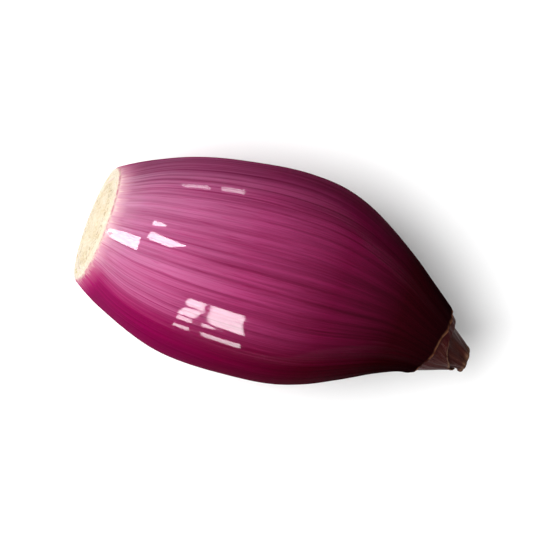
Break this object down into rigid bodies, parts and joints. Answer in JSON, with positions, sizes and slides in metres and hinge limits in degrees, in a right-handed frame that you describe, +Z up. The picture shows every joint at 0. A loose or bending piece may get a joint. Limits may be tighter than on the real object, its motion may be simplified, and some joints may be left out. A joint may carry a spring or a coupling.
{
  "type": "peeled red onion",
  "caption": "Small elongated red onion peeled to its outer fleshy scale, root cut flat and neck left on, lying on its side on a small flat spot.",
  "frame": {"origin": "centre of the bounding box at the surface that the bulb rests on", "axes": "+X along the bulb from the root cut to the neck, +Z up, +Y to the side that the bulb bows towards"},
  "size_m": [0.0698, 0.0374, 0.0381],
  "materials": {
    "outer_scale": "wet-looking smooth peeled scale, magenta with fine lengthwise veins, pale at the root and dark maroon at the neck",
    "root_plate": "cream-yellow cut root plate, fibrous and slightly moist",
    "dried_neck": "dry brown-red scale tips at the neck"
  },
  "bodies": {
    "root": {"bulb": "outer_scale"}
  },
  "joints": []
}
